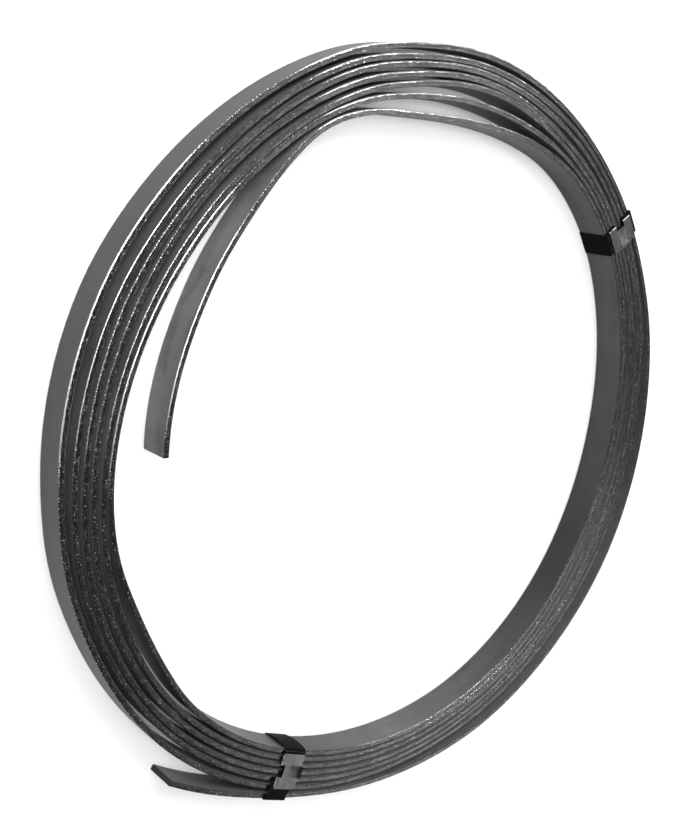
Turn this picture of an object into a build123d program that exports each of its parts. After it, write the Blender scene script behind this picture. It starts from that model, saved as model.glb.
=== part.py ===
from build123d import *
import os
from math import ceil, cos, radians, sin

# A loose coil of flat steel strip, wound on its flat and lying on its side, tied with two steel
# straps that are each joined by a crimped sleeve seal. Millimetres, +Z up, the floor at z = 0,
# the origin under the middle of the coil's footprint. Angles are in degrees, anticlockwise from +X.

# The strip
STRIP_WIDTH = 25.0
STRIP_THICKNESS = 4.0
BORE_RADIUS = 240.0
INNER_END_ANGLE = 184.2
WOUND_ANGLE = 2468.7
EDGE_BREAK = 0.5
SAMPLES_A_TURN = 18
FIRST_SAMPLE = 10.0

# The innermost turn, which wanders about the bore: (degrees of winding from the inner end, how far
# the strip's inner face stands off the bore radius). Its free end springs in from the other turns.
INNERMOST_TURN = [
    (0, -46.2), (14, -45.1), (24, -43.5), (34, -39.9), (44, -35.0), (54, -26.6), (59, -21.4), (64, -17.5),
    (69, -16.9), (79, -21.0), (89, -23.9), (99, -21.8), (109, -16.5), (119, -9.2), (129, -3.4), (144, -0.1),
    (164, -1.7), (184, -3.4), (204, -1.2), (224, 2.7), (244, 4.4), (264, 2.4), (284, 0.4), (304, -1.4),
    (314, -3.3), (324, -8.0), (334, -10.0), (347, -8.7), (360, -10.7),
]

# The clear gap from each turn to the next one out, one row a turn, where the turns open and close:
# (degrees of winding from the row's start, gap). The last row ends where the outer end springs off.
TURN_GAPS = [
    [(0, 31.5), (14, 26.7), (24, 23.4), (34, 19.0), (44, 14.6), (54, 7.7), (59, 3.5), (64, 0.6), (74, 3.2),
     (84, 8.2), (94, 9.3), (114, 4.6), (128, 0.5), (140, 0.3), (165, 0.3), (184, 1.3), (204, 0.4),
     (234, 1.4), (254, 0.4), (284, 0.8), (304, 1.4), (314, 2.6), (325, 6.1), (334, 5.8), (344, 2.6),
     (354, 0.6)],
    [(4, 0.3), (24, 0.4), (60, 0.3), (84, 3.5), (102, 6.8), (124, 1.2), (140, 0.3), (150, 0.4), (164, 2.9),
     (204, 4.2), (224, 1.8), (244, 0.4), (284, 1.3), (304, 1.0), (354, 2.2)],
    [(4, 3.1), (44, 4.6), (64, 3.1), (92, 1.7), (104, 0.4), (120, 0.3), (174, 0.3), (204, 3.4), (234, 1.1),
     (264, 1.6), (284, 1.2), (334, 2.3)],
    [(4, 1.7), (24, 3.0), (44, 0.8), (74, 2.7), (104, 1.1), (124, 2.4), (139, 1.5), (174, 2.1), (204, 0.3),
     (244, 0.3), (294, 1.3), (314, 0.5), (354, 2.5)],
    [(14, 2.8), (34, 2.0), (54, 2.4), (94, 0.7), (114, 1.2), (144, 0.5), (184, 1.9), (234, 2.7), (264, 1.0),
     (314, 3.2), (327, 2.4), (354, 4.0)],
    [(4, 5.6), (34, 7.2), (74, 2.9), (104, 2.9), (129, 0.5), (209, 9.7), (244, 8.1), (284, 1.4), (294, 3.4),
     (304, 9.0), (309, 14.0)],
]

# The straps, and the sleeve seals that join their ends over the coil's top. STRAP_HUG is the share
# of a strap's width, each way from its middle, that fits the stack of turns. SEAL_SHIFT is how far
# a seal sits outwards of the middle of the stack, and DOWN_TAB the side, seen looking outwards, on
# which its notched tab is tucked under: -1 is the right-hand side. The other side's tab is bent up.
STRAP_ANGLES = {"right": 39.2, "bottom": 255.6}
STRAP_WIDTH = 19.0
STRAP_THICKNESS = 0.5
STRAP_FIT = 0.15
STRAP_TAIL = 1.5
STRAP_HUG = 0.6
SEAL_SHIFT = {"right": 0.3, "bottom": -3.0}
SEAL_LENGTH = 26.5
SEAL_SHEET = 0.6
SEAL_FIT = 0.1
SEAL_SEAM = 5.0
SEAL_ROUND = 0.45
DOWN_TAB = {"right": 1, "bottom": -1}
NOTCH_LENGTH = 9.2
NOTCH_DEPTH = 4.3
NOTCH_SLIT = 0.3
TAB_RISE = 1.4
TAB_TUCK = 1.6

FULL_TURN = 360.0
HALF_STEP = 0.5
POINTS_AN_ARC = 10
STRIP_FOOT = STRAP_THICKNESS + STRAP_FIT
STRIP_TOP = STRIP_FOOT + STRIP_WIDTH
STRAP_BEND = EDGE_BREAK + STRAP_FIT
SEAL_BORE_WIDTH = STRAP_WIDTH + 2 * SEAL_FIT
SEAL_BORE_HEIGHT = 2 * STRAP_THICKNESS + 2 * SEAL_FIT
SEAL_WIDTH = SEAL_BORE_WIDTH + 2 * SEAL_SHEET
SEAL_HEIGHT = SEAL_BORE_HEIGHT + 2 * SEAL_SHEET
CREASE = SEAL_WIDTH / 2 - NOTCH_DEPTH


def slopes(stations):
    """The slope at each station of a smooth curve that never overshoots a station."""
    secants = [(v1 - v0) / (t1 - t0) for (t0, v0), (t1, v1) in zip(stations, stations[1:])]
    inner = [2 * a * b / (a + b) if a * b > 0 else 0.0 for a, b in zip(secants, secants[1:])]
    return [secants[0]] + inner + [secants[-1]]


def value_at(stations, angle):
    """The value at an angle of the smooth curve through the stations."""
    angle = min(max(angle, stations[0][0]), stations[-1][0])
    slope = slopes(stations)
    i = max(k for k, (t, _) in enumerate(stations[:-1]) if t <= angle)
    (t0, v0), (t1, v1) = stations[i], stations[i + 1]
    span = t1 - t0
    u = (angle - t0) / span
    start = v0 * (1 + 2 * u) * (1 - u) ** 2 + v1 * u * u * (3 - 2 * u)
    return start + span * (slope[i] * u * (1 - u) ** 2 + slope[i + 1] * u * u * (u - 1))


GAPS = [(FULL_TURN * turn + angle, gap) for turn, row in enumerate(TURN_GAPS) for angle, gap in row]


def inner_face(wound):
    """Radius of the strip's inner face, after so many degrees of winding from its inner end."""
    if wound <= FULL_TURN:
        return BORE_RADIUS + value_at(INNERMOST_TURN, wound)
    return inner_face(wound - FULL_TURN) + STRIP_THICKNESS + value_at(GAPS, wound - FULL_TURN)


def coil_point(radius, angle):
    """A point of the plan view, about the coil's axis."""
    return Vector(radius * cos(radians(angle)), radius * sin(radians(angle)))


def quarter_turn(direction):
    """A direction in plan turned a quarter turn anticlockwise: outwards, for the way of winding."""
    return Vector(-direction.Y, direction.X)


def middle_line(wound):
    """A point half-way through the strip's thickness, and the direction of winding there."""
    before, here, after = (
        coil_point(inner_face(w) + STRIP_THICKNESS / 2, INNER_END_ANGLE - w)
        for w in (wound - HALF_STEP, wound, wound + HALF_STEP)
    )
    return here, (after - before).normalized()


def middle_samples():
    """The middle line from end to end, sampled at the same places on every turn."""
    step = FULL_TURN / SAMPLES_A_TURN
    count = ceil((WOUND_ANGLE - FIRST_SAMPLE) / step)
    places = [0.0] + [FIRST_SAMPLE + step * k for k in range(count)] + [WOUND_ANGLE]
    return [middle_line(wound) for wound in places]


def arc_through(start, direction, end):
    """An arc that leaves a point in a direction and reaches another: three points and directions."""
    chord = end - start
    along = chord.normalized()
    cosine = direction.dot(along)
    sagitta = (direction - along * cosine) * (chord.length / 2 / (1 + cosine))
    return [
        (start, direction),
        ((start + end) / 2 + sagitta, along),
        (end, along * (2 * cosine) - direction),
    ]


def two_arcs(first, second):
    """Two arcs that run on smoothly from one sample of the middle line to the next."""
    (start, leaving), (end, arriving) = first, second
    chord = end - start
    both = chord.dot(leaving + arriving)
    bend = 2 * (1 - leaving.dot(arriving))
    reach = chord.dot(chord) / (both + (both**2 + bend * chord.dot(chord)) ** 0.5)
    joint = (start + end + (leaving - arriving) * reach) / 2
    first_arc = arc_through(start, leaving, joint)
    return [first_arc, arc_through(joint, first_arc[-1][1], end)]


def close_points():
    """Closely spaced points along the arcs of the middle line, about the coil's axis."""
    shares = [k / POINTS_AN_ARC for k in range(POINTS_AN_ARC)]
    curves = [ThreePointArc(*[point for point, _ in arc], mode=Mode.PRIVATE) for arc in MIDDLE_ARCS]
    return [point for curve in curves for point in curve.positions(shares)]


def footprint_centre():
    """The middle of the box round the coil's middle line in plan, about the coil's axis."""
    xs = [point.X for point in CLOSE_POINTS]
    ys = [point.Y for point in CLOSE_POINTS]
    return Vector(min(xs) + max(xs), min(ys) + max(ys)) / 2


MIDDLE_SAMPLES = middle_samples()
MIDDLE_ARCS = [arc for pair in zip(MIDDLE_SAMPLES, MIDDLE_SAMPLES[1:]) for arc in two_arcs(*pair)]
CLOSE_POINTS = close_points()
AXIS = Vector(0, 0) - footprint_centre()


def stack_reach(angle):
    """How far in and out the stack of turns reaches, over the width of a strap at a coil angle."""
    outwards = coil_point(1, angle)
    sideways = quarter_turn(outwards)
    crossing = [
        point.dot(outwards)
        for point in CLOSE_POINTS
        if point.dot(outwards) > 0 and abs(point.dot(sideways)) < STRAP_HUG * STRAP_WIDTH
    ]
    return min(crossing) - STRIP_THICKNESS / 2, max(crossing) + STRIP_THICKNESS / 2


def strap_frame(angle):
    """The upright plane through the coil's axis at a coil angle: x runs outwards, y runs up."""
    across = Vector(sin(radians(angle)), -cos(radians(angle)), 0)
    return Plane(origin=AXIS, x_dir=coil_point(1, angle), z_dir=across)


def side_point(point, along, side):
    """A point of the strip's inner (side -1) or outer (side 1) face, beside one of its middle line."""
    return AXIS + point + quarter_turn(along) * (side * STRIP_THICKNESS / 2)


def make_strip():
    """The strip as one solid: its spiral outline in plan, raised by its width."""
    with BuildPart() as strip:
        with BuildSketch(Plane.XY.offset(STRIP_FOOT)):
            outline = []
            for side in (-1, 1):
                for arc in MIDDLE_ARCS:
                    points = [side_point(point, along, side) for point, along in arc]
                    outline.append(ThreePointArc(*points, mode=Mode.PRIVATE))
            for point, along in (MIDDLE_ARCS[0][0], MIDDLE_ARCS[-1][-1]):
                corners = [side_point(point, along, side) for side in (-1, 1)]
                outline.append(Line(*corners, mode=Mode.PRIVATE))
            make_face(outline)
        extrude(amount=STRIP_WIDTH)
        rims = strip.faces().filter_by(Axis.Z).edges()
        chamfer([rim for rim in rims if rim.length > STRIP_THICKNESS + EDGE_BREAK], length=EDGE_BREAK)
    strip.part.label = "strip"
    return strip


def strap_reach(name):
    """How far a strap's inner run, its outer run and its seal's middle are from the coil's axis."""
    inner, outer = stack_reach(STRAP_ANGLES[name])
    return inner - STRAP_FIT, outer + STRAP_FIT, (inner + outer) / 2 + SEAL_SHIFT[name]


def seal_frame(name):
    """The plane across a seal's middle, on the strip's top edges: x runs sideways, y runs up."""
    frame = strap_frame(STRAP_ANGLES[name])
    middle = frame.from_local_coords((strap_reach(name)[2], STRIP_TOP, 0))
    return Plane(origin=middle, x_dir=-frame.z_dir, z_dir=frame.x_dir)


def notches(name, crease):
    """What is cut from both sides of a lapped joint, half-way along it, out from a crease."""
    with BuildPart() as cut:
        with BuildSketch(seal_frame(name)):
            for side in (-1, 1):
                with Locations((side * (crease + NOTCH_DEPTH), SEAL_HEIGHT / 2)):
                    Rectangle(2 * NOTCH_DEPTH, 2 * SEAL_HEIGHT)
        extrude(amount=NOTCH_LENGTH / 2, both=True)
    return cut.part


def make_strap(name):
    """A strap drawn round the stack of turns, its two ends lapped over the coil's top."""
    inner, outer, middle = strap_reach(name)
    half = STRAP_THICKNESS / 2
    left = inner - half
    right = outer + half
    lower = STRIP_TOP + SEAL_SHEET + SEAL_FIT + half
    upper = lower + STRAP_THICKNESS
    lap = SEAL_LENGTH / 2 + STRAP_TAIL
    with BuildPart() as strap:
        with BuildSketch(strap_frame(STRAP_ANGLES[name])):
            with BuildLine():
                FilletPolyline(
                    (middle + lap, lower),
                    (left, lower),
                    (left, half),
                    (right, half),
                    (right, lower / 2),
                    radius=STRAP_BEND + half,
                )
            trace(line_width=STRAP_THICKNESS)
            with BuildLine():
                FilletPolyline(
                    (right, lower / 2),
                    (right, upper),
                    (max(middle - lap, left + 2 * STRAP_BEND), upper),
                    radius=STRAP_BEND + half,
                )
            trace(line_width=STRAP_THICKNESS)
        extrude(amount=STRAP_WIDTH / 2, both=True)
        add(notches(name, CREASE - TAB_TUCK - SEAL_SHEET), mode=Mode.SUBTRACT)
    strap.part.label = name + "_strap"
    return strap


def make_seal(name):
    """The sleeve of folded sheet round the lapped ends, with one crimped tab on each side."""
    middle_height = SEAL_HEIGHT / 2
    sheet_middle = SEAL_HEIGHT - SEAL_SHEET / 2
    down = DOWN_TAB[name]
    with BuildPart() as seal:
        with BuildSketch(seal_frame(name)):
            with Locations((0, middle_height)):
                RectangleRounded(SEAL_WIDTH, SEAL_HEIGHT, SEAL_ROUND * SEAL_HEIGHT)
                Rectangle(SEAL_BORE_WIDTH, SEAL_BORE_HEIGHT, mode=Mode.SUBTRACT)
            with Locations((0, SEAL_SHEET / 2)):
                Rectangle(SEAL_SEAM, 2 * SEAL_SHEET, mode=Mode.SUBTRACT)
        extrude(amount=SEAL_LENGTH / 2, both=True)
        add(notches(name, CREASE), mode=Mode.SUBTRACT)
        with BuildSketch(seal_frame(name)):
            with BuildLine():
                FilletPolyline(
                    (down * (CREASE - TAB_TUCK), sheet_middle),
                    (down * CREASE, sheet_middle),
                    (down * (CREASE - TAB_TUCK), SEAL_SHEET),
                    radius=SEAL_SHEET / 2 + SEAL_FIT,
                )
            trace(line_width=SEAL_SHEET)
            with BuildLine():
                Polyline(
                    (-down * (CREASE - SEAL_SHEET), sheet_middle),
                    (-down * CREASE, sheet_middle),
                    (-down * (CREASE + NOTCH_DEPTH), sheet_middle + TAB_RISE),
                )
            trace(line_width=SEAL_SHEET)
        extrude(amount=NOTCH_LENGTH / 2 - NOTCH_SLIT, both=True)
    seal.part.label = name + "_seal"
    return seal


os.makedirs("parts", exist_ok=True)
strip = make_strip()
export_step(strip.part, "parts/strip.step")
for name in STRAP_ANGLES:
    strap = make_strap(name)
    export_step(strap.part, "parts/" + name + "_strap.step")
    seal = make_seal(name)
    export_step(seal.part, "parts/" + name + "_seal.step")
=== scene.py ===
from math import atan2, cos, degrees, pi, radians, remainder, sin

import bmesh
import bpy
from mathutils import Matrix, Vector


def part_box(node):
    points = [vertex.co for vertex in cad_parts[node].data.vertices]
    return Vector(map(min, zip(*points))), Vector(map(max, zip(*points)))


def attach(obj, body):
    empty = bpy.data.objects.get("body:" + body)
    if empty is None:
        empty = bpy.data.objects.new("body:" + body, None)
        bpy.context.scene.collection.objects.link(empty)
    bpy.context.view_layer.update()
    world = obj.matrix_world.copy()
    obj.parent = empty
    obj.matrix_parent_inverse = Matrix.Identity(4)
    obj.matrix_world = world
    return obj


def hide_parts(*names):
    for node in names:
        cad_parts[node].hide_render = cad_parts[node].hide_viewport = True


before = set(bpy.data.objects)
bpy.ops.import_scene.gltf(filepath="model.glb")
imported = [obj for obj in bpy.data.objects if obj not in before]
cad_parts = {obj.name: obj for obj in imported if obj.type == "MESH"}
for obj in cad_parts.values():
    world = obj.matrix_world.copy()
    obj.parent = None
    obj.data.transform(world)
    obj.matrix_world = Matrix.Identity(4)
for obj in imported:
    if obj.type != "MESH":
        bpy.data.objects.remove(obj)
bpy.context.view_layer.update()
scene = bpy.context.scene
scene.view_settings.view_transform = "Standard"

MM = 0.001
FULL_TURN = 360

# Where the coil's axis stands, its mean radius, and the strip's middle height and half width
COIL_AXIS = Vector((-8.54, 5.35, 0)) * MM
MEAN_RADIUS = 256 * MM
STRIP_MIDDLE = (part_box("strip")[0].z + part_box("strip")[1].z) / 2
HALF_WIDTH = (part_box("strip")[1].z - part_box("strip")[0].z) / 2

# The camera: it looks straight down, then swings round to the coil's -X side and tips to +Y
CAMERA_PLACE = Vector((-559.4, 148.5, 596.6)) * MM
CAMERA_SWING = radians(-39.99)
CAMERA_TIP = radians(-13.18)
CAMERA_LENS = 48.48
SENSOR = 36.0

# Roundness of the strip's arrises, and how far zinc runs spread from them
ARRIS_ROUND = 0.24 * MM
ARRIS_SEGMENTS = 2
SHARP = radians(35)
EDGE_BREAK = 0.5 * MM
FACE_SPREAD = 0.5 * MM
EDGE_SPREAD = 0.6

# Where bright runs of zinc lie along the outer arrises, set to suit the photograph's view; they are
# partly real zinc and partly painted highlights: the turn, counted from the inner end, the degrees
# of winding within it between which the run lies, and how strong it is
ZINC_RUNS_AND_HIGHLIGHTS = [
    (0, 6, 42, 0.95),
    (0, 42, 64, 0.3),
    (0, 64, 114, 1.1),
    (1, 0, 44, 1.3),
    (1, 66, 118, 1.1),
    (2, 4, 45, 0.5),
    (2, 68, 116, 0.95),
    (3, 0, 40, 0.3),
    (3, 66, 118, 1.1),
    (4, 0, 48, 0.4),
    (4, 68, 118, 1.1),
    (5, 2, 42, 0.7),
    (5, 66, 116, 1.15),
    (6, 0, 44, 1.05),
    (6, 44, 64, 0.3),
    (6, 64, 118, 1.2),
]

# The same along the inner arrises, also partly real zinc and partly painted highlights
INNER_RUNS_AND_HIGHLIGHTS = [
    (0, 238, 276, 0.42),
    (1, 232, 262, 0.36),
    (2, 236, 252, 0.25),
]

# The degrees over which a run fades, the share of an outer run that the inner arris beside it has,
# and the widest angle about the axis that a cut end of the strip spans
RUN_FADE = 8.0
INNER_SHARE = 0.3
END_SPREAD = radians(1)

# The zinc's tone on the broad faces, partly its own and partly painted light and shade, set in the same
# way: degrees of winding, level
FACE_TONES_AND_SHADE = [
    (0, 0.5),
    (30, 0.7),
    (62, 0.6),
    (95, 0.12),
    (145, 0.33),
    (215, 0.06),
    (268, 0.44),
    (284, 0.2),
    (380, 0.45),
    (2100, 0.4),
    (2165, 0.19),
    (2260, 0.26),
    (2420, 0.36),
]
TONES_END = FACE_TONES_AND_SHADE[-1][0]

# The straps' angles about the coil's axis, how far each drifts sideways by its outer end, how that
# drift grows, how far its inner run bows off the strip, and the heights, in millimetres, at which
# it is cut across so that it can bow
STRAP_ANGLES = {"right": 39.2, "bottom": 255.6}
STRAP_DRIFT = {"right": 2.6 * MM, "bottom": -4.6 * MM}
DRIFT_EASE = {"right": 0.5, "bottom": 1.0}
STRAP_BOW = {"right": 0.3 * MM, "bottom": 1.6 * MM}
BOW_HEIGHTS = [4, 7, 10, 13, 16, 19, 22]
INNER_RUN = 1.2 * MM

# The roundness of the straps' and seals' rims, and the range of a face's upward lean in which it
# counts as a bend of the seal's sheet and is given a painted highlight. No face of a strap counts as one
RIM_ROUND = 0.12 * MM
RIM_SEGMENTS = 2
NONE_BENT = (2, 2)
SHEET_BEND_HIGHLIGHTS = (0.3, 0.95)
FLAT_WEIGHT = 100

# The floor: its width, its colour, the light it shows to the camera and to reflections, and how
# near the coil has to be to take that light away, which paints shade beside the coil and between its turns
FLOOR_SIZE = 40.0
FLOOR_COLOUR = (0.45, 0.45, 0.45, 1)
FLOOR_GLOW = 0.5
GAP_SHADE = 14 * MM

# Each lamp's bearing and height in degrees, distance, width and height in metres, power in watts
LAMPS = {
    "key_softbox": (110, 44, 2.0, 2.0, 1.0, 62),
    "front_softbox": (154, 55, 2.2, 0.8, 0.6, 26),
    "top_softbox": (13, 50, 2.2, 0.5, 0.25, 17),
    "side_softbox": (-33, 38, 2.2, 1.0, 0.35, 16),
}

# The light of the walls and of the ceiling, and how high the walls reach
WALL_LIGHT = 0.35
CEILING_LIGHT = 0.035
WALL_TOP = 0.28


def socket(group, name, direction, kind, value=None):
    """A named input or output of a node group."""
    made = group.interface.new_socket(name=name, in_out=direction, socket_type=kind)
    if value is not None:
        made.default_value = value


class Wiring:
    """Nodes and links of one tree, made in the order in which a signal runs."""

    def __init__(self, tree):
        self.tree = tree

    def node(self, kind, settings=(), **inputs):
        made = self.tree.nodes.new(kind)
        for name, value in dict(settings).items():
            setattr(made, name, value)
        for name, value in inputs.items():
            self.feed(made.inputs[name.replace("_", " ")], value)
        return made

    def feed(self, entry, value):
        if isinstance(value, bpy.types.NodeSocket):
            self.tree.links.new(value, entry)
        else:
            entry.default_value = value

    def maths(self, operation, *values, clamp=False):
        made = self.tree.nodes.new("ShaderNodeMath")
        made.operation = operation
        made.use_clamp = clamp
        for entry, value in zip(made.inputs, values):
            self.feed(entry, value)
        return made.outputs[0]

    def ramp(self, signal, stops):
        """A grey ramp through (place, level) stops."""
        made = self.tree.nodes.new("ShaderNodeValToRGB")
        self.feed(made.inputs[0], signal)
        points = made.color_ramp.elements
        while len(points) < len(stops):
            points.new(0.5)
        for point, (place, level) in zip(points, stops):
            point.position = place
            point.color = (level, level, level, 1)
        return made.outputs[0]

    def mix(self, share, first, second, blend="MIX"):
        """A colour between two colours, or another blend of them."""
        made = self.tree.nodes.new("ShaderNodeMix")
        made.data_type = "RGBA"
        made.blend_type = blend
        self.feed(made.inputs[0], share)
        self.feed(made.inputs[6], first)
        self.feed(made.inputs[7], second)
        return made.outputs[2]


def grey(level):
    return (level, level, level, 1)


def new_group(name, inputs, outputs):
    """An effect group with float inputs and outputs: its tree, wiring and input sockets."""
    tree = bpy.data.node_groups.new(name, "ShaderNodeTree")
    for label, value in inputs.items():
        socket(tree, label, "INPUT", "NodeSocketFloat", value)
    for label in outputs:
        socket(tree, label, "OUTPUT", "NodeSocketFloat")
    wiring = Wiring(tree)
    return tree, wiring, wiring.node("NodeGroupInput").outputs


def group_output(wiring, **values):
    wiring.node("NodeGroupOutput", **values)


def cloudy_zinc():
    """Soft patches of lighter and darker zinc, in two sizes."""
    tree, wiring, given = new_group(
        "cloudy_zinc", {"Patch Scale": 40.0, "Mottle Scale": 220.0}, ["Clouds"]
    )
    place = wiring.node("ShaderNodeTexCoord").outputs["Object"]
    patches = wiring.node("ShaderNodeTexNoise", Vector=place, Scale=given["Patch Scale"], Detail=3.0)
    mottle = wiring.node("ShaderNodeTexNoise", Vector=place, Scale=given["Mottle Scale"], Detail=2.0)
    both = wiring.maths("MULTIPLY_ADD", patches.outputs["Fac"], 0.65, 0.0)
    both = wiring.maths("MULTIPLY_ADD", mottle.outputs["Fac"], 0.35, both)
    group_output(wiring, Clouds=both)
    return tree


def strip_place():
    """Where a point lies on the strip: along it, across it, and how near it is to an arris."""
    tree, wiring, _ = new_group("strip_place", {}, ["Along", "Across", "Height", "Edge", "Arris"])
    along = wiring.node("ShaderNodeAttribute", {"attribute_name": "along"}).outputs["Fac"]
    across = wiring.node("ShaderNodeAttribute", {"attribute_name": "across"}).outputs["Fac"]
    place = wiring.node("ShaderNodeTexCoord").outputs["Object"]
    height = wiring.node("ShaderNodeSeparateXYZ", Vector=place).outputs["Z"]
    normal = wiring.node("ShaderNodeNewGeometry").outputs["Normal"]
    upright = wiring.node("ShaderNodeSeparateXYZ", Vector=normal).outputs["Z"]
    edge = wiring.ramp(wiring.maths("ABSOLUTE", upright), [(0.6, 0.0), (0.95, 1.0)])
    off_middle = wiring.maths("ABSOLUTE", wiring.maths("SUBTRACT", height, STRIP_MIDDLE))
    off_edge = wiring.maths("SUBTRACT", off_middle, HALF_WIDTH - EDGE_BREAK - FACE_SPREAD)
    on_face = wiring.maths("DIVIDE", off_edge, FACE_SPREAD, clamp=True)
    off_face = wiring.maths("SUBTRACT", wiring.maths("ABSOLUTE", across), 1 - EDGE_SPREAD)
    on_edge = wiring.maths("DIVIDE", off_face, EDGE_SPREAD, clamp=True)
    arris = wiring.maths("MULTIPLY", wiring.maths("SUBTRACT", on_edge, on_face), edge)
    arris = wiring.maths("ADD", arris, on_face)
    group_output(wiring, Along=along, Across=across, Height=height, Edge=edge, Arris=arris)
    return tree


def drawn_noise():
    """Noise drawn out along the strip, across its edge face or up its broad face."""
    tree, wiring, given = new_group(
        "drawn_noise",
        {
            "Along": 0.0,
            "Across": 0.0,
            "Height": 0.0,
            "Along Scale": 7.0,
            "Across Scale": 2.0,
            "Height Scale": 200.0,
            "Detail": 2.0,
        },
        ["Level"],
    )
    drawn = wiring.node(
        "ShaderNodeCombineXYZ",
        X=wiring.maths("MULTIPLY", given["Along"], given["Along Scale"]),
        Y=wiring.maths("MULTIPLY", given["Across"], given["Across Scale"]),
        Z=wiring.maths("MULTIPLY", given["Height"], given["Height Scale"]),
    )
    noise = wiring.node("ShaderNodeTexNoise", Vector=drawn.outputs[0], Scale=1.0, Detail=given["Detail"])
    group_output(wiring, Level=noise.outputs["Fac"])
    return tree


def sparkle():
    """Tiny bright or dark grains, few or many."""
    tree, wiring, given = new_group(
        "sparkle", {"Grain Scale": 900.0, "Share": 0.2}, ["Grains", "Relief"]
    )
    place = wiring.node("ShaderNodeTexCoord").outputs["Object"]
    noise = wiring.node("ShaderNodeTexNoise", Vector=place, Scale=given["Grain Scale"], Detail=2.0)
    lifted = wiring.maths("SUBTRACT", noise.outputs["Fac"], wiring.maths("SUBTRACT", 0.75, given["Share"]))
    grains = wiring.maths("MULTIPLY", lifted, 9.0, clamp=True)
    group_output(wiring, Grains=grains, Relief=noise.outputs["Fac"])
    return tree


CLOUDS = cloudy_zinc()
PLACE = strip_place()
DRAWN = drawn_noise()
SPARKLE = sparkle()


def new_material(name):
    """An emptied material, with its wiring and its shader."""
    material = bpy.data.materials.new(name)
    material.use_nodes = True
    material.node_tree.nodes.clear()
    wiring = Wiring(material.node_tree)
    shader = wiring.node("ShaderNodeBsdfPrincipled")
    wiring.node("ShaderNodeOutputMaterial", Surface=shader.outputs[0])
    return material, wiring, shader


def effect(wiring, tree, **values):
    """One effect group placed in a material, with its own values."""
    made = wiring.node("ShaderNodeGroup", {"node_tree": tree}, **values)
    return made.outputs


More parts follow.
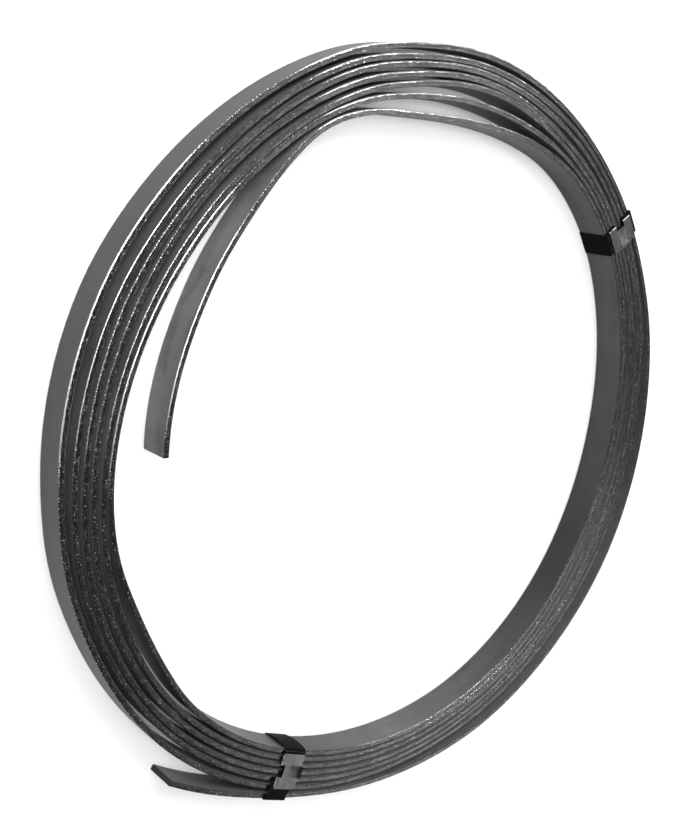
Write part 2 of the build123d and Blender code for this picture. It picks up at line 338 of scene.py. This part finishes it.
def strip_zinc():
    """Dull galvanised steel: cloudy faces with painted light and shade along the strip, dark grainy edges,
    and bright zinc beads along the arrises, some of them painted highlights.
    """
    material, wiring, shader = new_material("strip_zinc")
    place = effect(wiring, PLACE)

    def drawn(along, across, height, detail=2.0):
        spot = {label: place[label] for label in ("Along", "Across", "Height")}
        scales = {"Along_Scale": along, "Across_Scale": across, "Height_Scale": height, "Detail": detail}
        return effect(wiring, DRAWN, **spot, **scales)["Level"]

    clouds = effect(wiring, CLOUDS, Patch_Scale=30.0, Mottle_Scale=240.0)["Clouds"]
    grains = effect(wiring, SPARKLE, Grain_Scale=1000.0, Share=0.14)
    streaks = drawn(9.0, 4.0, 320.0, 3.0)
    patches = wiring.ramp(drawn(150.0, 1.2, 60.0, 3.0), [(0.46, 0.0), (0.6, 1.0)])
    smudges = wiring.ramp(drawn(16.0, 3.0, 70.0, 5.0), [(0.54, 0.0), (0.7, 1.0)])
    beads = drawn(1000.0, 3.0, 1100.0, 1.0)
    traces = wiring.ramp(drawn(5.0, 1.3, 0.0, 1.0), [(0.45, 0.0), (0.65, 0.24)])
    # The zinc runs along the arrises: partly real zinc, partly painted highlights
    run = wiring.node("ShaderNodeAttribute", {"attribute_name": "zinc_run_and_highlight"}).outputs["Fac"]
    reach = wiring.maths("MULTIPLY_ADD", beads, 2.2, place["Arris"])
    reach = wiring.maths("MULTIPLY_ADD", wiring.maths("MAXIMUM", run, traces), 0.9, reach)
    wear_and_highlight = wiring.maths("MULTIPLY", wiring.maths("SUBTRACT", reach, 2.5), 6.0, clamp=True)
    wear_and_highlight = wiring.maths("MULTIPLY", wear_and_highlight, wiring.maths("MULTIPLY", place["Arris"], 2.0, clamp=True))
    bare = wiring.ramp(place["Arris"], [(0.8, 0.0), (1.0, 1.0)])

    # The broad faces' tone along the strip: partly the zinc's own, partly painted light and shade
    wound = wiring.maths("DIVIDE", place["Along"], radians(TONES_END) * MEAN_RADIUS)
    tone_and_shade = wiring.ramp(wound, [(turned / TONES_END, level) for turned, level in FACE_TONES_AND_SHADE])
    face = wiring.mix(1.0, wiring.mix(clouds, grey(0.14), grey(0.4)), tone_and_shade, "MULTIPLY")
    face = wiring.mix(wiring.maths("MULTIPLY", streaks, 0.3), face, grey(0.07))
    face = wiring.mix(wiring.maths("MULTIPLY", smudges, 0.6), face, grey(0.04))
    pits = effect(wiring, SPARKLE, Grain_Scale=1500.0, Share=0.24)["Grains"]
    edge = wiring.mix(patches, grey(0.027), grey(0.05))
    edge = wiring.mix(wiring.maths("MULTIPLY", pits, 0.75), edge, grey(0.006))
    edge = wiring.mix(grains["Grains"], edge, grey(0.26))
    colour = wiring.mix(place["Edge"], face, edge)
    # The bare arris is lighter where a run lies: partly real zinc, partly a painted highlight
    arris_line_and_highlight = wiring.mix(wiring.maths("MULTIPLY", run, 0.6, clamp=True), grey(0.03), grey(0.22))
    cut_end = wiring.node("ShaderNodeAttribute", {"attribute_name": "cut_end"}).outputs["Fac"]
    colour = wiring.mix(wiring.maths("MULTIPLY", cut_end, 0.9), colour, grey(0.006))
    colour = wiring.mix(bare, colour, arris_line_and_highlight)
    # Bright worn zinc and beads on the arrises, and a painted highlight where the runs lie
    colour = wiring.mix(wear_and_highlight, colour, grey(0.7))
    wiring.feed(shader.inputs["Base Color"], colour)
    metal = wiring.maths("MULTIPLY_ADD", place["Edge"], 0.75, 0.2)
    wiring.feed(shader.inputs["Metallic"], wiring.maths("MAXIMUM", metal, wear_and_highlight))
    rough = wiring.maths("MULTIPLY_ADD", clouds, 0.2, 0.36)
    rough = wiring.maths("MULTIPLY_ADD", place["Edge"], -0.12, rough)
    rough = wiring.maths("MULTIPLY_ADD", bare, 0.15, rough)
    rough = wiring.maths("MULTIPLY_ADD", wear_and_highlight, -0.22, rough)
    wiring.feed(shader.inputs["Roughness"], rough)
    relief = wiring.maths("MULTIPLY", grains["Relief"], 0.3)
    relief = wiring.maths("MULTIPLY_ADD", grains["Grains"], 0.6, relief)
    relief = wiring.maths("MULTIPLY", relief, wiring.maths("MULTIPLY_ADD", place["Edge"], 0.9, 0.04))
    height = wiring.maths("MULTIPLY_ADD", wear_and_highlight, wiring.maths("MULTIPLY", beads, 1.2), relief)
    bump = wiring.node("ShaderNodeBump", Height=height, Strength=0.5, Distance=0.18 * MM)
    wiring.feed(shader.inputs["Normal"], bump.outputs[0])
    shader.inputs["Specular IOR Level"].default_value = 0.2
    return material


def worn_rim_and_highlight():
    """Patchy bare metal along the rims that the mesh's own attribute marks, with painted highlights on the
    seals' bends.
    """
    tree, wiring, given = new_group("worn_rim_and_highlight", {"Patch Scale": 400.0, "Share": 0.5}, ["Wear"])
    rim_wear_and_highlight = wiring.node("ShaderNodeAttribute", {"attribute_name": "rim_wear_and_highlight"}).outputs["Fac"]
    place = wiring.node("ShaderNodeTexCoord").outputs["Object"]
    noise = wiring.node("ShaderNodeTexNoise", Vector=place, Scale=given["Patch Scale"], Detail=2.0)
    kept = wiring.maths("SUBTRACT", noise.outputs["Fac"], wiring.maths("SUBTRACT", 0.75, given["Share"]))
    kept = wiring.maths("MULTIPLY", kept, 8.0, clamp=True)
    group_output(wiring, Wear=wiring.maths("MULTIPLY", kept, rim_wear_and_highlight))
    return tree


RIM_WEAR_AND_HIGHLIGHT = worn_rim_and_highlight()


def black_paint():
    """Black painted steel strapping, a little bare along its rims."""
    material, wiring, shader = new_material("black_paint")
    clouds = effect(wiring, CLOUDS, Patch_Scale=90.0, Mottle_Scale=500.0)["Clouds"]
    wear_and_highlight = effect(wiring, RIM_WEAR_AND_HIGHLIGHT, Patch_Scale=350.0, Share=0.3)["Wear"]
    paint = wiring.mix(clouds, grey(0.0015), grey(0.0035))
    wiring.feed(shader.inputs["Base Color"], wiring.mix(wear_and_highlight, paint, grey(0.05)))
    wiring.feed(shader.inputs["Roughness"], wiring.maths("MULTIPLY_ADD", clouds, 0.2, 0.5))
    wiring.feed(shader.inputs["Metallic"], wiring.maths("MULTIPLY", wear_and_highlight, 0.8))
    shader.inputs["Specular IOR Level"].default_value = 0.03
    return material


def seal_zinc():
    """Bright galvanised sheet, scuffed and slightly buckled, with bright sheared rims and painted
    highlights on its bends.
    """
    material, wiring, shader = new_material("seal_zinc")
    clouds = effect(wiring, CLOUDS, Patch_Scale=120.0, Mottle_Scale=600.0)["Clouds"]
    grains = effect(wiring, SPARKLE, Grain_Scale=1300.0, Share=0.1)["Grains"]
    wear_and_highlight = effect(wiring, RIM_WEAR_AND_HIGHLIGHT, Patch_Scale=300.0, Share=0.35)["Wear"]
    sheet = wiring.mix(clouds, grey(0.04), grey(0.07))
    sheet = wiring.mix(grains, sheet, grey(0.14))
    # Bright bare metal on the sheared rims, and a painted highlight on the sheet's bends
    wiring.feed(shader.inputs["Base Color"], wiring.mix(wear_and_highlight, sheet, grey(0.5)))
    shader.inputs["Metallic"].default_value = 1.0
    rough = wiring.maths("MULTIPLY_ADD", clouds, 0.2, 0.26)
    wiring.feed(shader.inputs["Roughness"], wiring.maths("MULTIPLY_ADD", wear_and_highlight, 0.08, rough))
    place = wiring.node("ShaderNodeTexCoord").outputs["Object"]
    buckles = wiring.node("ShaderNodeTexNoise", Vector=place, Scale=130.0, Detail=1.0).outputs["Fac"]
    bump = wiring.node("ShaderNodeBump", Height=buckles, Strength=0.5, Distance=0.6 * MM)
    wiring.feed(shader.inputs["Normal"], bump.outputs[0])
    return material


STRIP_ZINC = strip_zinc()
BLACK_PAINT = black_paint()
SEAL_ZINC = seal_zinc()


def merged_copy(node):
    """A bmesh of a CAD node with its loose triangles joined."""
    mesh = bmesh.new()
    mesh.from_mesh(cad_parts[node].data)
    bmesh.ops.remove_doubles(mesh, verts=mesh.verts, dist=0.001 * MM)
    return mesh


def finished_piece(name, mesh, material, node):
    """An object made from a bmesh, in place of a CAD node."""
    data = bpy.data.meshes.new(name)
    mesh.to_mesh(data)
    mesh.free()
    data.materials.append(material)
    piece = bpy.data.objects.new(name, data)
    scene.collection.objects.link(piece)
    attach(piece, "root")
    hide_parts(node)
    return piece


def mark_strip(mesh, arrises):
    """Marks each point of the strip with how far along the strip it is, and on which side."""
    along = mesh.verts.layers.float.new("along")
    across = mesh.verts.layers.float.new("across")
    zinc_run_and_highlight = mesh.verts.layers.float.new("zinc_run_and_highlight")
    cut_end = mesh.faces.layers.float.new("cut_end")
    first = min(mesh.verts, key=lambda vert: (vert.co - COIL_AXIS).xy.length)
    wound = {first: 0.0}
    reached = [first]
    for vert in reached:
        for edge in vert.link_edges:
            other = edge.other_vert(vert)
            if edge in arrises and other not in wound:
                start, end = (polar_angle(point) for point in (vert, other))
                wound[other] = wound[vert] - remainder(end - start, 2 * pi)
                reached.append(other)
    for vert in mesh.verts:
        vert[along] = wound[vert] * MEAN_RADIUS
        outwards = (vert.co - COIL_AXIS).xy
        facing = sum(face.normal.xy.dot(outwards) for face in vert.link_faces)
        turned = degrees(wound[vert])
        # The strength of the zinc run here, partly real zinc and partly a painted highlight
        outer_run_and_highlight = run_and_highlight_at(turned, ZINC_RUNS_AND_HIGHLIGHTS)
        inner_run_and_highlight = max(outer_run_and_highlight * INNER_SHARE, run_and_highlight_at(turned, INNER_RUNS_AND_HIGHLIGHTS))
        vert[across] = 1.0 if facing > 0 else -1.0
        vert[zinc_run_and_highlight] = outer_run_and_highlight if facing > 0 else inner_run_and_highlight
    for face in mesh.faces:
        turned = [wound[vert] for vert in face.verts]
        if max(turned) - min(turned) < END_SPREAD:
            face[cut_end] = 1.0


def run_and_highlight_at(turned, runs):
    """How strong the zinc run and its painted highlight are after so many degrees of winding."""
    strengths = [0.0]
    for turn, start, end, strength in runs:
        inside = min(turned - FULL_TURN * turn - start, FULL_TURN * turn + end - turned)
        strengths.append(strength * min(max(0.5 + inside / RUN_FADE, 0.0), 1.0))
    return max(strengths)


def polar_angle(vert):
    """The angle of a point about the coil's axis."""
    offset = vert.co - COIL_AXIS
    return atan2(offset.y, offset.x)


def wound_strip():
    """The strip with its arrises rounded, marked along and across for its finish."""
    mesh = merged_copy("strip")
    arrises = {edge for edge in mesh.edges if edge.calc_face_angle() > SHARP}
    mark_strip(mesh, arrises)
    bmesh.ops.bevel(
        mesh,
        geom=list(arrises),
        offset=ARRIS_ROUND,
        offset_type="OFFSET",
        segments=ARRIS_SEGMENTS,
        profile=0.5,
        affect="EDGES",
        material=-1,
    )
    for face in mesh.faces:
        face.smooth = True
    piece = finished_piece("wound_strip", mesh, STRIP_ZINC, "strip")
    even_shading(piece)


def rounded_copy(node, bent):
    """A copy of a node's mesh with its rims rounded, and its rims and bent faces marked, the bent ones for
    a painted highlight.
    """
    mesh = merged_copy(node)
    rim_wear_and_highlight = mesh.faces.layers.float.new("rim_wear_and_highlight")
    rims = [edge for edge in mesh.edges if edge.calc_face_angle() > SHARP]
    rounded = bmesh.ops.bevel(
        mesh,
        geom=rims,
        offset=RIM_ROUND,
        offset_type="OFFSET",
        segments=RIM_SEGMENTS,
        profile=0.5,
        affect="EDGES",
        clamp_overlap=True,
        material=-1,
    )
    for face in rounded["faces"]:
        face[rim_wear_and_highlight] = 1.0
    for face in mesh.faces:
        # Faces of the sheet's bends get the same bright colour, a painted highlight
        if bent[0] < face.normal.z < bent[1]:
            face[rim_wear_and_highlight] = 1.0
        face.smooth = True
    return mesh


def even_shading(piece):
    """Keeps flat faces flat beside their rounded rims."""
    weighted = piece.modifiers.new("flat_faces", "WEIGHTED_NORMAL")
    weighted.mode = "FACE_AREA"
    weighted.weight = FLAT_WEIGHT


def tied_strap(name):
    """A strap that runs askew over the turns, its inner run bowed a little off the strip."""
    mesh = rounded_copy(name + "_strap", NONE_BENT)
    for height in BOW_HEIGHTS:
        everything = mesh.verts[:] + mesh.edges[:] + mesh.faces[:]
        bmesh.ops.bisect_plane(mesh, geom=everything, plane_co=(0, 0, height * MM), plane_no=(0, 0, 1))
    angle = radians(STRAP_ANGLES[name])
    outwards = Vector((cos(angle), sin(angle), 0))
    sideways = Vector((-sin(angle), cos(angle), 0))
    reach = {vert: (vert.co - COIL_AXIS).dot(outwards) for vert in mesh.verts}
    inner, outer = min(reach.values()), max(reach.values())
    top = max(vert.co.z for vert in mesh.verts)
    for vert in mesh.verts:
        share = (reach[vert] - inner) / (outer - inner)
        vert.co += sideways * STRAP_DRIFT[name] * share ** DRIFT_EASE[name]
        if reach[vert] - inner < INNER_RUN:
            vert.co -= outwards * STRAP_BOW[name] * sin(pi * vert.co.z / top)
    piece = finished_piece(name + "_strapping", mesh, BLACK_PAINT, name + "_strap")
    even_shading(piece)


def crimped_seal(name):
    """A sleeve seal with its sheared rims rounded."""
    mesh = rounded_copy(name + "_seal", SHEET_BEND_HIGHLIGHTS)
    piece = finished_piece(name + "_crimped_seal", mesh, SEAL_ZINC, name + "_seal")
    even_shading(piece)


wound_strip()
for side in STRAP_ANGLES:
    tied_strap(side)
    crimped_seal(side)


def floor():
    """A pale floor that keeps the coil's shadow and shows white where nothing shades it."""
    mesh = bmesh.new()
    bmesh.ops.create_grid(mesh, x_segments=1, y_segments=1, size=FLOOR_SIZE / 2)
    data = bpy.data.meshes.new("floor")
    mesh.to_mesh(data)
    mesh.free()
    material = bpy.data.materials.new("pale_floor")
    material.use_nodes = True
    material.node_tree.nodes.clear()
    wiring = Wiring(material.node_tree)
    matt = wiring.node("ShaderNodeBsdfDiffuse", Color=FLOOR_COLOUR)
    rays = wiring.node("ShaderNodeLightPath").outputs
    seen = wiring.maths("MAXIMUM", rays["Is Camera Ray"], rays["Is Glossy Ray"])
    seen = wiring.maths("MAXIMUM", seen, rays["Is Transmission Ray"])
    # The glow fades where the coil hems the floor in: painted shade beside the coil and between its turns
    opening = wiring.node("ShaderNodeAmbientOcclusion", {"samples": 4}, Distance=GAP_SHADE).outputs["AO"]
    open_floor = wiring.ramp(opening, [(0.1, 0.0), (0.5, FLOOR_GLOW)])
    glow = wiring.node("ShaderNodeEmission", Strength=wiring.maths("MULTIPLY", seen, open_floor))
    both = wiring.node("ShaderNodeAddShader")
    wiring.feed(both.inputs[0], matt.outputs[0])
    wiring.feed(both.inputs[1], glow.outputs[0])
    wiring.node("ShaderNodeOutputMaterial", Surface=both.outputs[0])
    data.materials.append(material)
    piece = bpy.data.objects.new("floor", data)
    scene.collection.objects.link(piece)


def studio_walls():
    """A pale wall all round the floor, under a dark ceiling."""
    world = bpy.data.worlds.new("studio")
    scene.world = world
    world.use_nodes = True
    world.node_tree.nodes.clear()
    wiring = Wiring(world.node_tree)
    ray = wiring.node("ShaderNodeTexCoord").outputs["Generated"]
    height = wiring.node("ShaderNodeSeparateXYZ", Vector=ray).outputs["Z"]
    level = wiring.ramp(
        height, [(0.0, WALL_LIGHT), (WALL_TOP * 0.6, WALL_LIGHT), (WALL_TOP, CEILING_LIGHT)]
    )
    sky = wiring.node("ShaderNodeBackground", Color=level)
    wiring.node("ShaderNodeOutputWorld", Surface=sky.outputs[0])


def bearing(azimuth, elevation, distance):
    """A place seen from the middle of the floor."""
    lift = Matrix.Rotation(radians(-elevation), 4, "Y")
    turn = Matrix.Rotation(radians(azimuth), 4, "Z")
    return (turn @ lift @ Vector((distance, 0, 0))).to_3d()


def softbox(name, azimuth, elevation, distance, width, height, power):
    """A rectangular lamp aimed at the middle of the coil."""
    lamp = bpy.data.lights.new(name, "AREA")
    lamp.shape = "RECTANGLE"
    lamp.size = width
    lamp.size_y = height
    lamp.energy = power
    holder = bpy.data.objects.new(name, lamp)
    scene.collection.objects.link(holder)
    place = bearing(azimuth, elevation, distance)
    holder.location = place
    holder.rotation_euler = place.to_track_quat("Z", "Y").to_euler()


def camera():
    """The photograph's viewpoint."""
    lens = bpy.data.cameras.new("camera")
    lens.lens = CAMERA_LENS
    lens.sensor_width = SENSOR
    holder = bpy.data.objects.new("camera", lens)
    scene.collection.objects.link(holder)
    turn = Matrix.Rotation(CAMERA_TIP, 4, "X") @ Matrix.Rotation(CAMERA_SWING, 4, "Y")
    holder.matrix_world = Matrix.Translation(CAMERA_PLACE) @ turn
    scene.camera = holder


floor()
studio_walls()
for name, setting in LAMPS.items():
    softbox(name, *setting)
camera()
